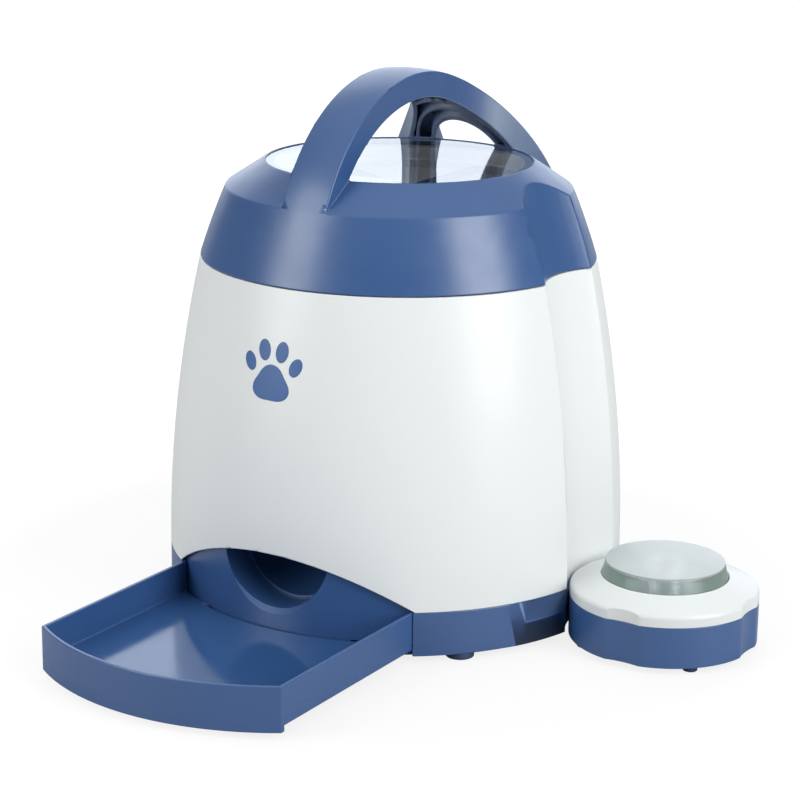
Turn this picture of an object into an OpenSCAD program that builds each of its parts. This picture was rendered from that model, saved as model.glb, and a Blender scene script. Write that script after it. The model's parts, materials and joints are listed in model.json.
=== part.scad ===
// Treat dispenser for dogs, with a push-button puck that docks in a side scallop.
// Millimetres. Origin on the floor, on the axis of the main unit. The tray faces -Y.

/* [Base] */
// Outer radius of the base ring
base_r = 115; // [112:1:122]
// Height of the feet under the base
foot_h = 3.3; // [2.5:0.1:4.5]
// Height of the base ring
base_h = 21.8; // [20:0.2:25]
// Wall thickness of the large shells
wall = 2.5; // [2:0.1:3]
// Thickness of floors, flanges and plates
deck = 2.5; // [2:0.1:3]
// Radius of a rubber foot
foot_r = 6.9; // [4:0.1:7]
// Distance of the feet from the axis
foot_ring_r = 108; // [100:1:108]

/* [Casing] */
// Height of the white casing
casing_h = 148; // [144:1:156]
// Radius of the bulged casing wall in side view
casing_bulge_r = 680; // [620:10:800]
// Half the width of a side scallop
scallop_half = 24; // [20:1:27]
// Gap between the docked puck and its scallop
dock_gap = 1.4; // [1:0.1:3]
// Depth of the hopper ledge below the casing's top edge
ledge_drop = 13.1; // [11:0.1:16]

/* [Outlet] */
// Height of the arched cut-out above the base ring
arch_rise = 22.7; // [16:0.1:26]
// How far the arch's feet stand outside the tray
arch_ease = 1.2; // [0.5:0.1:3]
// Radius of the round chute mouth
mouth_r = 30; // [26:0.5:32]
// Height of the mouth's centre above the base ring
mouth_rise = 24.5; // [22:0.5:28]
// Width of the mouth's bevelled rim
mouth_rim = 3; // [1:0.5:4]
// Wall thickness of the chute
chute_wall = 2.2; // [1.8:0.1:2.6]

/* [Tray] */
// Half the width of the tray
tray_half = 67.1; // [62:0.1:70]
// Reach of the tray's front wall from the axis
tray_reach = 221.5; // [200:0.5:240]
// How far the front wall bows out
tray_bow = 20.5; // [12:0.5:30]
// Wall thickness of the tray
tray_wall = 2; // [1.6:0.1:2.6]
// Height of the tray's floor above its lower edge
tray_floor_h = 6.2; // [5:0.1:8]
// How far the tray's front wall hangs below its side walls
tray_skirt = 2.9; // [1:0.1:3]
// Length of the tongues that plug into the base
tongue_l = 14; // [8:1:18]
// Distance of the tongues from the middle
tongue_x = 48; // [44:1:52]

/* [Lid] */
// Dark gap between casing and lid
lid_gap = 0.4; // [0.2:0.1:0.8]
// Height of the lid's lower band
band_h = 34.5; // [30:0.5:40]
// Radius of the crease above the band
crease_r = 86; // [84:0.5:88]
// Radius of the band's slight bulge in side view
band_bulge_r = 350; // [250:10:600]
// Radius of the clear window
window_r = 66; // [60:0.5:68]
// Thickness of the clear window
window_t = 2; // [1.5:0.1:3]
// Rise of the sloping top from the crease to the window's rim
top_rise = 12.6; // [9:0.1:15]

/* [Handle] */
// Height of the handle's top above the window's rim
handle_rise = 44.6; // [40:0.1:55]
// Radius of the handle's domed underside
grip_r = 85; // [80:0.5:88]
// Thickness of the handle at its top
handle_t = 12.7; // [11:0.1:17]
// Half the width of the handle
handle_half = 12.5; // [11:0.5:16]
// Radius of the flare into the two rear legs
flare_r = 60; // [54:1:64]
// Distance behind the axis where the flare starts
flare_y = 15.5; // [12:0.5:20]
// Radius of the arched opening between the rear legs
fork_r = 21; // [17:0.5:24]
// Distance of the opening's round end behind the axis
fork_end = 54.6; // [50:0.1:60]

/* [Dosing drive] */
// Radius of the dosing chamber
chamber_r = 74; // [70:0.5:76]
// Height of the dosing chamber
chamber_h = 26; // [22:1:30]
// Height of the hopper cone above the chamber
cone_h = 30; // [26:1:34]
// Gap between the rotor's vanes and the chamber
vane_gap = 1.5; // [1:0.1:3]
// Number of vanes
vane_count = 6; // [4:1:8]
// Radius of the drop hole
drop_r = 20; // [17:0.5:21]
// Radius of the rotor shaft
shaft_r = 4; // [3:0.5:5]
// Gear module
gear_m = 1; // [0.9:0.05:1]
// Teeth of the drive gear
drive_teeth = 48; // [40:1:48]
// Teeth of the motor pinion
pinion_teeth = 16; // [14:1:18]
// Thickness of the gears
gear_t = 6; // [4:0.5:7]
// Length of the posts between dosing cup and gear plate
post_h = 15; // [12:1:18]

/* [Batteries] */
// Radius of a C cell
cell_r = 13.1; // [12.5:0.1:13.5]
// Length of a C cell
cell_l = 50; // [48:0.5:51]
// Radius of an AAA cell
small_cell_r = 5.25; // [5:0.05:5.4]
// Length of an AAA cell
small_cell_l = 44.5; // [42:0.5:45]

/* [Puck] */
// Outer radius of the puck
puck_r = 45.6; // [43:0.1:48]
// Height of the puck's feet
puck_foot_h = 3; // [2:0.1:4]
// Height of the puck's blue base
puck_base_h = 20.2; // [19:0.2:24]
// Height of the white ring's upright side
puck_side_h = 3.8; // [3:0.1:6]
// Rounding of the white ring's top edge
puck_round = 2.6; // [1.5:0.1:3]
// Slope of the white ring's top
puck_slope = 21; // [16:0.5:24]
// Wall thickness of the puck's shells
puck_wall = 2; // [1.6:0.1:2.4]
// Radius of the push button
button_r = 30.4; // [27:0.1:32]
// Height of the button's side above the ring
button_side_h = 7; // [5:0.5:9]
// Rise of the button's dome
dome_rise = 4.5; // [3:0.5:8]
// Travel of the push button
press = 3; // [2:0.1:3]
// Depth of the puck's four grip scallops
grip_depth = 1.8; // [1:0.1:2.5]
// Wire thickness of the button's spring
wire_t = 1.2; // [0.8:0.1:1.4]
// Turns of the button's spring
spring_turns = 5; // [3:1:6]

/* [Hidden] */
$fn = 72;
// Facets of the very large arcs
fine = 1080;
// Clearance of pieces that slide or lift, of fixed pieces, and of turning shafts
slip = 0.3;
fit = 0.2;
run = 0.05;
// Overlap that joins shapes of one piece and clears cuts
e = 0.1;

WHITE = "#e8edec";
BLUE = "#33558f";
GREY = "#8d9296";
STEEL = "#b9bcc0";
DARK = "#2b2d30";
GREEN = "#2c6b4a";
BRASS = "#c8a860";
CLEAR = "#dfe8ea";

// Heights of the main unit
base_top = foot_h + base_h;
floor_z = foot_h + deck;
casing_top = base_top + casing_h;
lip_h = 3;
lip_top = base_top + lip_h;
ledge_z = casing_top - ledge_drop;
flange_top = ledge_z + deck;
step_z = ledge_z - cone_h;
chamber_z = step_z - chamber_h;
deck_z = chamber_z - deck;
plate_top = deck_z - post_h;
plate_z = plate_top - deck;

// Outer radius of the casing at a height
function casing_radius(z) = base_r - casing_bulge_r + sqrt(pow(casing_bulge_r, 2) - pow(z - base_top, 2));

// Docking scallops: the puck's radius plus a gap, swept up along the casing's bulge
scallop_r = puck_r + dock_gap;
dock_x = sqrt(pow(base_r, 2) - pow(scallop_half, 2)) + sqrt(pow(scallop_r, 2) - pow(scallop_half, 2));
scallop_sweep_r = dock_x - base_r + casing_bulge_r;
scallop_turn = asin((casing_h + 12) / (scallop_sweep_r - scallop_r));
scallop_floor_x = sqrt(pow(scallop_sweep_r - scallop_r, 2) - pow(casing_h, 2)) - casing_bulge_r + base_r;

// Outlet and tray
front_r = base_r - wall - slip;
arch_half = tray_half + arch_ease;
arch_r = (pow(arch_half, 2) + pow(arch_rise, 2)) / (2 * arch_rise);
mouth_z = base_top + mouth_rise;
chute_half = tray_half - 0.5;
chute_top = mouth_z + mouth_r + 5;
spout_h = 5;
spout_wall = 2;
collar_r = drop_r + spout_wall + fit;
drop_y = chamber_r - drop_r - 2;
mouth_sphere_y = base_r - mouth_r + 7;
bend_z = mouth_z + 0.6 * mouth_r + 6.4;
run_r = 24;
bend_ease = 1;
tube_top = deck_z - 0.4;
tray_seat_r = base_r - wall + 0.1;
tray_front_r = (pow(tray_half, 2) + pow(tray_bow, 2)) / (2 * tray_bow);
tray_floor_z = foot_h + tray_floor_h;
tongue_w = 15;
tongue_t = tray_wall;

// Lid
lid_z = casing_top + lid_gap;
crease_z = lid_z + band_h;
lid_r = casing_radius(casing_top);
band_lean = atan((lid_r - crease_r) / band_h);
rim_r = window_r + 1;
rim_z = crease_z + top_rise;
top_lean = atan(top_rise / (crease_r - rim_r));
window_drop = 0.3;
window_ledge = 4;
skirt_r = lid_r - wall - slip;
// Centre of the arc that bulges the band, on the line square to the band's middle
band_l = norm([lid_r - crease_r, band_h]);
band_mid = [(lid_r + crease_r) / 2, (lid_z + crease_z) / 2];
band_back = sqrt(pow(band_bulge_r, 2) - pow(band_l / 2, 2));
band_centre = band_mid - band_back * [cos(band_lean), sin(band_lean)];

// Handle
handle_top = rim_z + handle_rise;
handle_drop = handle_top - crease_z;
// Sphere of the handle's outside, which runs into the lid's band at the crease
handle_r = (pow(crease_r - e, 2) + pow(handle_drop, 2)) / (2 * handle_drop);
handle_cz = handle_top - handle_r;
grip_cz = handle_top - handle_t - grip_r;
flare_x = handle_half + flare_r;
fork_y = fork_end + fork_r;
handle_skin = 4;
handle_wall = 2.4;
rib_t = 1.8;
rib_gap = 8.5;
hollow_z = rim_z + 0.6;

// Drive
rotor_r = chamber_r - vane_gap;
vane_t = 3;
hub_r = 12;
bush_r = shaft_r + 4;
bush_up = 2;
bush_plug_r = 14;
bush_flange_r = 17;
bush_flange_t = 1.8;
rotor_z = chamber_z + 1;
rotor_top = step_z - 3;
gear_z = plate_top + 0.3 + 1.2;
pinion_y = gear_m * (drive_teeth + pinion_teeth) / 2;
motor_shaft_r = 2.5;
gearbox_r = 18;
gearbox_h = 22;
motor_r = 12;
motor_h = 24;
post_r = 3.5;
post_xy = [[-29, 14], [29, 14], [-17, 58], [17, 58]];
motor_screw_x = 13;
motor_screw_y = pinion_y + 8;
step_w = 6;
hopper_wall = 2;
cup_rim = 1.5;
hopper_top_r = scallop_floor_x - wall - 1;
flange_r = skirt_r - 0.4;

// Screws
screw_r = 1.5;
screw_hole_r = screw_r + 0.05;
head_r = 3;
head_h = 1.8;
boss_r = 5;
boss_ring_r = base_r - wall - boss_r + 0.4;
boss_angles = [-30, 28, 152, 210];
boss_top = lip_top + 34;

// Battery bay
bay_gap = 0.4;
contact_t = 1;
bay_x = cell_l + bay_gap + 2 * contact_t + 0.6;
bay_y0 = base_r - wall - 4.6 * cell_r - 18;
bay_w = 4 * cell_r + 2 * bay_gap;
bay_roof = floor_z + 2 * cell_r + 2 * bay_gap;
bay_wall = 2;
door_lip = 4;
door_t = 1.6;
cell_z = floor_z + cell_r + bay_gap / 2;
function cell_y(row) = bay_y0 + bay_gap + cell_r + row * 2 * cell_r;

// Electronics on the pan
board_w = 80;
board_d = 46;
board_y0 = -48;
board_t = 1.6;
board_z = floor_z + 8;
board_hole = 4;
speaker_x = -66;
speaker_y = -22;
speaker_r = 20;
speaker_h = 9;
switch_w = 20;
switch_d = 7;
switch_h = 14;
switch_y = base_r - wall - 1.2 - switch_d;
slider_w = 5;
slider_h = 5;
slider_z = foot_h + base_h / 2;
slider_travel = 4;
switch_back = 3;
slider_out = 1;
slider_l = base_r + slider_out - switch_y - switch_back - slip;
groove = 0.6;

// Puck
puck_top_base = puck_foot_h + puck_base_h;
puck_floor = puck_foot_h + puck_wall;
round_r = puck_r - puck_round;
round_z = puck_top_base + puck_side_h;
hole_r = button_r + 0.6;
edge_r = round_r + puck_round * sin(puck_slope);
edge_z = round_z + puck_round * cos(puck_slope);
hole_z = edge_z + (edge_r - hole_r) * tan(puck_slope);
grip_cut_r = 40;
button_flange_r = hole_r + 2.2;
flange_z = hole_z - puck_wall / cos(puck_slope) - (button_flange_r - hole_r) * tan(puck_slope) - 0.3;
button_flange_t = 1.8;
button_top_r = button_r - 1.4;
button_edge_z = hole_z + button_side_h;
button_round = 2;
dome_chord = button_top_r - 0.4;
dome_r = (pow(dome_chord, 2) + pow(dome_rise, 2)) / (2 * dome_rise);
dome_top = button_edge_z + dome_rise;
lug_angles = [-87, 33, 153];
lug_w = 8;
lug_t = 4;
puck_board_z = puck_floor + 2 * small_cell_r + 2.4;
puck_board_top = puck_board_z + board_t;
puck_board_r = 36;
tact_h = 3.5;
tact_tip = 1.5;
plunger_r = 4;
plunger_z = puck_board_top + tact_h + tact_tip + press + 0.2;
collar_z = puck_board_top + 14;
spring_r = 8;
puck_post_r = 3;
puck_post_ring = 32;
puck_post_angles = [45, 135, 270];
puck_boss_ring = puck_r - puck_wall - 3.8;
puck_boss_angles = [30, 150, 270];
small_bay_x = small_cell_l + 3;
small_bay_y = 4 * small_cell_r + 1;
small_door_lip = 3;
small_door_t = 1.2;
small_contact_t = 0.6;
small_cell_z = puck_foot_h + small_door_t + fit + small_cell_r;

// Solid of the bulged body, set in from its surface, between two heights
module bulge(inset, z0, z1) {
    rotate_extrude()
        intersection() {
            translate([base_r - casing_bulge_r, base_top])
                circle(casing_bulge_r - inset, $fn = fine);
            translate([0, z0])
                square([base_r + 1, z1 - z0]);
        }
}

// The pair of scallops below the lid, grown to make the wall behind them
module scallops(grow) {
    for (side = [0, 1])
        mirror([side, 0, 0])
            translate([base_r - casing_bulge_r, 0, base_top])
                rotate([90, 0, 0])
                    rotate([0, 0, -3])
                        rotate_extrude(angle = scallop_turn + 3, $fn = fine)
                            translate([scallop_sweep_r, 0])
                                circle(scallop_r + grow);
}

// The same scallops where they lean in with the lid's band
module lid_scallops(grow) {
    for (side = [0, 1])
        mirror([side, 0, 0])
            translate([scallop_floor_x, 0, lid_z])
                rotate([0, -band_lean, 0])
                    translate([scallop_r, 0, -band_h])
                        cylinder(r = scallop_r + grow, h = 3 * band_h);
}

// A round bar between two points of the plane x = 0
module bar(p, q, r) {
    translate([0, p[0], p[1]])
        rotate([atan2(p[0] - q[0], q[1] - p[1]), 0, 0])
            cylinder(r = r, h = norm(q - p));
}

// A pan-head screw with its head's underside at z = 0, pointing up
module screw(length) {
    cylinder(r = screw_r, h = length);
    translate([0, 0, -head_h])
        cylinder(r = head_r, h = head_h);
}

// Copies children at the casing's four screw bosses
module at_bosses() {
    for (a = boss_angles)
        rotate(a)
            translate([boss_ring_r, 0, 0])
                children();
}

// Copies children at the four feet
module at_feet() {
    for (a = [-138.5, -41.5, 41.5, 138.5])
        rotate(a)
            translate([foot_ring_r, 0, 0])
                children();
}

// Copies children at the board's four corner holes
module at_board_holes() {
    for (x = [-1, 1], y = [board_y0 + board_hole, board_y0 + board_d - board_hole])
        translate([x * (board_w / 2 - board_hole), y, 0])
            children();
}

// Base ring and floor, open in front for the tray
module base_pan() {
    color(BLUE)
        difference() {
            union() {
                difference() {
                    translate([0, 0, foot_h])
                        cylinder(r = base_r, h = base_h);
                    scallops(0);
                    difference() {
                        translate([0, 0, floor_z])
                            cylinder(r = base_r - wall, h = base_h);
                        scallops(wall);
                    }
                }
                pan_lip();
                at_bosses()
                    translate([0, 0, floor_z - e])
                        cylinder(r = boss_r, h = lip_top - floor_z + e);
                at_board_holes()
                    translate([0, 0, floor_z - e])
                        cylinder(r = 3, h = board_z - floor_z + e);
                bay_box();
            }
            tray_gap();
            at_bosses() {
                cylinder(r = screw_hole_r + 0.1, h = lip_top + e);
                cylinder(r = head_r + fit, h = foot_h + head_h);
            }
            at_feet()
                cylinder(r = 2.6, h = floor_z + e);
            at_board_holes()
                translate([0, 0, floor_z])
                    cylinder(r = screw_hole_r, h = board_z);
            bay_opening();
            speaker_holes();
            slider_slot(base_r - 2 * wall);
        }
}

// Slot for the switch's slider, from a distance behind the axis outwards
module slider_slot(y0) {
    width = slider_w + slider_travel + 2 * slip;
    height = slider_h + 2 * slip;
    translate([-width / 2, y0, slider_z - height / 2])
        cube([width, base_r - y0 + wall, height]);
}

// Collar and upright lip inside the ring, on which the casing registers
module pan_lip() {
    lip_r = base_r - wall - fit;
    difference() {
        union() {
            translate([0, 0, base_top - 4])
                cylinder(r = lip_r + fit + e, h = 4);
            translate([0, 0, base_top - e])
                cylinder(r = lip_r, h = lip_h + e);
        }
        difference() {
            scallops(wall + fit);
            translate([0, 0, base_top - 5])
                cylinder(r = base_r, h = 5);
        }
        scallops(wall - e);
        difference() {
            translate([0, 0, base_top - 5])
                cylinder(r = lip_r - wall, h = lip_h + 6);
            scallops(2 * wall + fit);
        }
    }
}

// Room for the tray: the ring is cut away, the floor stops behind the tray
module tray_gap() {
    half = tray_half + slip;
    difference() {
        translate([-half, -base_r - 5, 0])
            cube([2 * half, base_r - 20, lip_top + 5]);
        cylinder(r = front_r, h = floor_z);
    }
}

// Battery bay: a box with a roof, open at the bottom
module bay_box() {
    translate([-bay_x - bay_wall, bay_y0 - bay_wall, floor_z - e])
        cube([2 * (bay_x + bay_wall), bay_w + 2 * bay_wall, bay_roof - floor_z + bay_wall + e]);
    translate([0, bay_y0 - bay_wall - 3.5, floor_z - e])
        cylinder(r = 4, h = 9);
}

module bay_opening() {
    translate([-bay_x, bay_y0, 0])
        cube([2 * bay_x, bay_w, bay_roof]);
    translate([-bay_x - door_lip - fit, bay_y0 - door_lip - 5 - fit, 0])
        cube([2 * (bay_x + door_lip + fit), bay_w + 2 * door_lip + 5 + 2 * fit, foot_h + door_t]);
    translate([0, bay_y0 - bay_wall - 3.5, 0])
        cylinder(r = screw_hole_r, h = floor_z + 7);
}

module speaker_holes() {
    translate([speaker_x, speaker_y, 0]) {
        cylinder(r = 1.6, h = floor_z + e);
        for (a = [0:60:300])
            rotate(a)
                translate([7, 0, 0])
                    cylinder(r = 1.6, h = floor_z + e);
    }
}

module rubber_feet() {
    color(DARK)
        at_feet() {
            cylinder(r = foot_r, h = foot_h);
            cylinder(r = 2.5, h = floor_z + 1);
        }
}

// White housing with the arched cut-out in front
module casing() {
    color(WHITE)
        difference() {
            union() {
                difference() {
                    bulge(0, base_top, casing_top);
                    scallops(0);
                    difference() {
                        bulge(wall, base_top - 1, casing_top + 1);
                        scallops(wall);
                    }
                }
                casing_ledge();
                intersection() {
                    at_bosses()
                        translate([0, 0, lip_top])
                            cylinder(r = boss_r, h = boss_top - lip_top);
                    bulge(wall / 2, base_top, casing_top);
                }
            }
            translate([0, 0, base_top + arch_rise - arch_r])
                rotate([90, 0, 0])
                    cylinder(r = arch_r, h = base_r + 5, $fn = 180);
            at_bosses() {
                translate([0, 0, base_top - 1])
                    cylinder(r = boss_r + fit, h = lip_h + 1);
                translate([0, 0, base_top])
                    cylinder(r = screw_hole_r, h = 24);
            }
        }
}

// Ledge that carries the hopper's flange
module casing_ledge() {
    difference() {
        bulge(wall / 2, ledge_z - deck, ledge_z);
        scallops(wall / 2);
        difference() {
            translate([0, 0, ledge_z - deck - 1])
                cylinder(r = flange_r - 3.5, h = deck + 2);
            scallops(wall + fit + 1.2);
        }
    }
}

module case_screws() {
    color(STEEL)
        at_bosses()
            translate([0, 0, foot_h + head_h])
                screw(lip_top - foot_h - head_h + 14);
}

// Inside of the chute, grown to make its wall: drop up to a height, sloping run, and round mouth
module chute_bore(grow, top) {
    translate([0, -drop_y, bend_z])
        cylinder(r = collar_r + grow, h = top - bend_z);
    translate([0, -drop_y, bend_z])
        sphere(run_r + bend_ease + grow);
    bar([-drop_y, bend_z], [-mouth_sphere_y, mouth_z], run_r + grow);
    translate([0, -mouth_sphere_y, mouth_z])
        sphere(mouth_r - bend_ease + grow);
    translate([0, -mouth_sphere_y + grow, mouth_z])
        rotate([90, 0, 0])
            cylinder(r = mouth_r + grow, h = base_r);
}

// Outlet wall that follows the casing's inside, with the drop tube behind it
module chute() {
    color(BLUE)
        difference() {
            union() {
                intersection() {
                    difference() {
                        bulge(wall + slip, floor_z, chute_top);
                        bulge(wall + slip + chute_wall, floor_z - 1, chute_top + 1);
                    }
                    translate([-chute_half, -base_r, 0])
                        cube([2 * chute_half, base_r - 30, casing_top]);
                }
                intersection() {
                    chute_bore(chute_wall, tube_top);
                    bulge(wall + slip, floor_z, deck_z);
                }
            }
            chute_bore(0, deck_z + 1);
            translate([0, -front_r + mouth_rim, mouth_z])
                rotate([90, 0, 0])
                    cylinder(r1 = mouth_r - 0.5, r2 = mouth_r + mouth_rim, h = mouth_rim + 0.5);
            for (s = [-1, 1])
                translate([s * tongue_x - tongue_w / 2 - slip, -base_r, tray_floor_z - tongue_t - slip])
                    cube([tongue_w + 2 * slip, base_r / 2, tongue_t + 2 * slip]);
        }
}

// Plan of the tray, set in from its edge
module tray_plan(inset) {
    difference() {
        intersection() {
            translate([-tray_half + inset, -tray_reach])
                square([2 * (tray_half - inset), tray_reach]);
            translate([0, tray_front_r - tray_reach])
                circle(tray_front_r - inset, $fn = 180);
        }
        circle(tray_seat_r, $fn = 180);
        translate([-base_r, -sqrt(pow(tray_seat_r, 2) - pow(tray_half, 2))])
            square(2 * base_r);
    }
}

// Catch tray: walls with a lower front, raised floor, two tongues and two small feet
module tray() {
    color(BLUE) {
        difference() {
            translate([0, 0, foot_h])
                linear_extrude(base_h)
                    tray_plan(0);
            translate([0, 0, tray_floor_z])
                linear_extrude(base_h)
                    tray_bowl_plan();
            translate([0, 0, foot_h - 1])
                linear_extrude(tray_floor_h - tray_wall + 1)
                    tray_bowl_plan();
            translate([0, tray_front_r - tray_reach, foot_h - 1])
                cylinder(r = tray_front_r - tray_wall, h = tray_skirt + 1, $fn = 180);
        }
        for (s = [-1, 1]) {
            translate([s * tongue_x - tongue_w / 2, -tongue_seat_y() - 4, tray_floor_z - tongue_t])
                cube([tongue_w, tongue_l + 4, tongue_t]);
            translate([s * (tray_half - 19), -tray_reach + tray_bow + 7, 0])
                cylinder(r = 4, h = tray_floor_z - tray_wall + e);
        }
    }
}

// The bowl is open at the back, where the outlet wall closes it
module tray_bowl_plan() {
    tray_plan(tray_wall);
    intersection() {
        tray_plan(0);
        translate([-tray_half + tray_wall, -tray_seat_r - 1])
            square([2 * (tray_half - tray_wall), tray_seat_r]);
    }
}

function tongue_seat_y() = sqrt(pow(tray_seat_r, 2) - pow(tongue_x + tongue_w / 2, 2));

// Lid's section, set in from its surface
module lid_section(inset) {
    intersection() {
        translate(band_centre)
            circle(band_bulge_r - inset, $fn = fine);
        polygon([[0, lid_z], [base_r, lid_z],
            [base_r, crease_z - inset / cos(top_lean) - (base_r - crease_r) * tan(top_lean)],
            [rim_r, rim_z - inset / cos(top_lean)], [0, rim_z - inset / cos(top_lean)]]);
    }
}

module lid() {
    color(BLUE)
        difference() {
            union() {
                difference() {
                    rotate_extrude($fn = 180)
                        lid_section(0);
                    lid_scallops(0);
                    difference() {
                        translate([0, 0, -e])
                            rotate_extrude($fn = 180)
                                lid_section(wall);
                        lid_scallops(wall);
                    }
                }
                lid_skirt();
                translate([0, 0, rim_z - window_t - window_drop - 3])
                    cylinder(r = rim_r + 1, h = window_t + window_drop + 2);
                handle();
            }
            translate([0, 0, rim_z - window_t - window_drop])
                cylinder(r = window_r + fit, h = window_t + window_drop + e);
            translate([0, 0, lid_z])
                cylinder(r = window_r - window_ledge, h = rim_z - lid_z);
        }
}

// Ring under the lid that plugs into the casing and rests on the hopper's flange
module lid_skirt() {
    difference() {
        union() {
            translate([0, 0, flange_top])
                cylinder(r = skirt_r, h = lid_z - flange_top + 6);
            translate([0, 0, lid_z])
                cylinder(r = lid_r - wall + e, h = 4);
        }
        translate([0, 0, flange_top - e])
            cylinder(r = skirt_r - wall, h = band_h);
        for (side = [0, 1])
            mirror([side, 0, 0])
                translate([scallop_floor_x + scallop_r, 0, flange_top - e])
                    cylinder(r = scallop_r + wall + 2 * slip, h = lid_z - flange_top + e);
        lid_scallops(wall - e);
        difference() {
            translate([0, 0, lid_z + 4])
                cylinder(r = base_r, h = band_h);
            translate([0, 0, lid_z])
                rotate_extrude($fn = 180)
                    translate([0, -lid_z])
                        lid_section(wall - e);
        }
    }
}

// Plan of the handle, set in from its edge: one leg in front, flaring into two at the back
module handle_plan(inset) {
    half = handle_half - inset;
    difference() {
        union() {
            translate([-half, -handle_r])
                square([2 * half, 2 * handle_r]);
            difference() {
                translate([-flare_x, flare_y])
                    square([2 * flare_x, handle_r - flare_y]);
                for (s = [-1, 1])
                    translate([s * flare_x, flare_y])
                        circle(flare_r + inset, $fn = 180);
            }
        }
        fork_plan(inset);
    }
}

// Opening between the rear legs, grown from its edge
module fork_plan(grow) {
    translate([0, fork_y])
        circle(fork_r + grow);
    translate([-fork_r - grow, fork_y])
        square([2 * (fork_r + grow), handle_r]);
}

// Handle: a domed shell cut to its plan, hollow underneath with ribs
module handle() {
    difference() {
        intersection() {
            translate([0, 0, handle_cz])
                sphere(handle_r, $fn = 180);
            translate([0, 0, crease_z - 6])
                linear_extrude(handle_top)
                    handle_plan(0);
        }
        translate([0, 0, grip_cz])
            sphere(grip_r, $fn = 180);
        handle_hollow();
        translate([0, 0, -e])
            rotate_extrude($fn = 180)
                lid_section(wall);
        translate([0, 0, lid_z])
            cylinder(r = window_r - window_ledge, h = rim_z - lid_z);
    }
}

// Hollow of the handle, between its walls and its outer skin: two long ribs, and two round the fork
module handle_hollow() {
    rib_x = (handle_half - handle_wall) / 3;
    rib_end = fork_end - 2 * rib_gap - rib_t / 2;
    intersection() {
        translate([0, 0, handle_cz])
            sphere(handle_r - handle_skin, $fn = 180);
        translate([0, 0, hollow_z])
            linear_extrude(handle_top)
                difference() {
                    handle_plan(handle_wall);
                    for (s = [-1, 1])
                        translate([s * rib_x - rib_t / 2, -handle_r])
                            square([rib_t, handle_r + rib_end]);
                    for (d = [rib_gap, 2 * rib_gap])
                        difference() {
                            fork_plan(d + rib_t);
                            fork_plan(d);
                        }
                }
    }
}

module lid_window() {
    color(CLEAR)
        translate([0, 0, rim_z - window_t - window_drop])
            cylinder(r = window_r, h = window_t);
}

// Funnel: flange on the casing's ledge, cone, and a stepped foot that holds the dosing cup
module hopper() {
    cone_r = chamber_r + step_w;
    color(WHITE)
        difference() {
            union() {
                difference() {
                    translate([0, 0, ledge_z])
                        cylinder(r = flange_r, h = deck);
                    scallops(wall + slip);
                }
                translate([0, 0, step_z])
                    cylinder(r1 = cone_r + hopper_wall, r2 = hopper_top_r + hopper_wall,
                        h = flange_top - step_z);
                translate([0, 0, step_z - cup_rim - hopper_wall])
                    cylinder(r = cone_r + hopper_wall, h = cup_rim + hopper_wall + e);
            }
            translate([0, 0, step_z])
                cylinder(r1 = cone_r, r2 = hopper_top_r, h = flange_top - step_z + e);
            translate([0, 0, step_z - cup_rim])
                cylinder(r = cone_r, h = cup_rim + e);
            translate([0, 0, step_z - cup_rim - hopper_wall - e])
                cylinder(r = chamber_r + hopper_wall + fit, h = hopper_wall + 2 * e);
        }
}

// Cup that hangs by its rim in the funnel: dosing chamber, drop spout and gear posts
module dosing_cup() {
    color(WHITE)
        difference() {
            union() {
                translate([0, 0, step_z - cup_rim])
                    cylinder(r = chamber_r + step_w - fit, h = cup_rim);
                translate([0, 0, deck_z])
                    cylinder(r = chamber_r + hopper_wall, h = step_z - deck_z - cup_rim + e);
                translate([0, -drop_y, deck_z - spout_h])
                    cylinder(r = drop_r + spout_wall, h = spout_h + e);
                for (p = post_xy)
                    translate([p[0], p[1], plate_top])
                        cylinder(r = post_r, h = post_h + e);
            }
            translate([0, 0, chamber_z])
                cylinder(r = chamber_r, h = chamber_h + e);
            translate([0, -drop_y, deck_z - spout_h - e])
                cylinder(r = drop_r, h = deck + spout_h + 2 * e);
            translate([0, 0, deck_z - e])
                cylinder(r = bush_plug_r + fit, h = deck + 2 * e);
            for (p = post_xy)
                translate([p[0], p[1], plate_top - e])
                    cylinder(r = screw_hole_r, h = 10);
        }
}

// Bearing of the rotor's shaft, plugged into the cup's floor from below
module shaft_bush() {
    color(WHITE)
        difference() {
            union() {
                translate([0, 0, deck_z - 3])
                    cylinder(r = bush_r, h = deck + 3 + bush_up);
                translate([0, 0, deck_z - bush_flange_t])
                    cylinder(r = bush_flange_r, h = bush_flange_t);
                translate([0, 0, deck_z - e])
                    cylinder(r = bush_plug_r, h = deck + e);
            }
            translate([0, 0, deck_z - 4])
                cylinder(r = shaft_r + run, h = deck + 4 + bush_up + e);
        }
}

// Half a cone that keeps treats from falling straight through the drop hole
module hopper_baffle() {
    r0 = chamber_r + step_w - fit;
    peak_r = 12;
    peak_h = 16;
    color(WHITE)
        translate([0, 0, step_z])
            intersection() {
                union() {
                    difference() {
                        cylinder(r1 = r0, r2 = peak_r, h = peak_h);
                        translate([0, 0, -deck])
                            cylinder(r1 = r0, r2 = peak_r, h = peak_h);
                        cylinder(r = peak_r / 2, h = peak_h + e);
                    }
                    intersection() {
                        cylinder(r1 = r0, r2 = peak_r, h = peak_h);
                        translate([-r0, -deck, 0])
                            cube([2 * r0, deck, peak_h]);
                    }
                }
                translate([-r0, -r0, 0])
                    cube([2 * r0, r0, peak_h]);
            }
}

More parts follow.
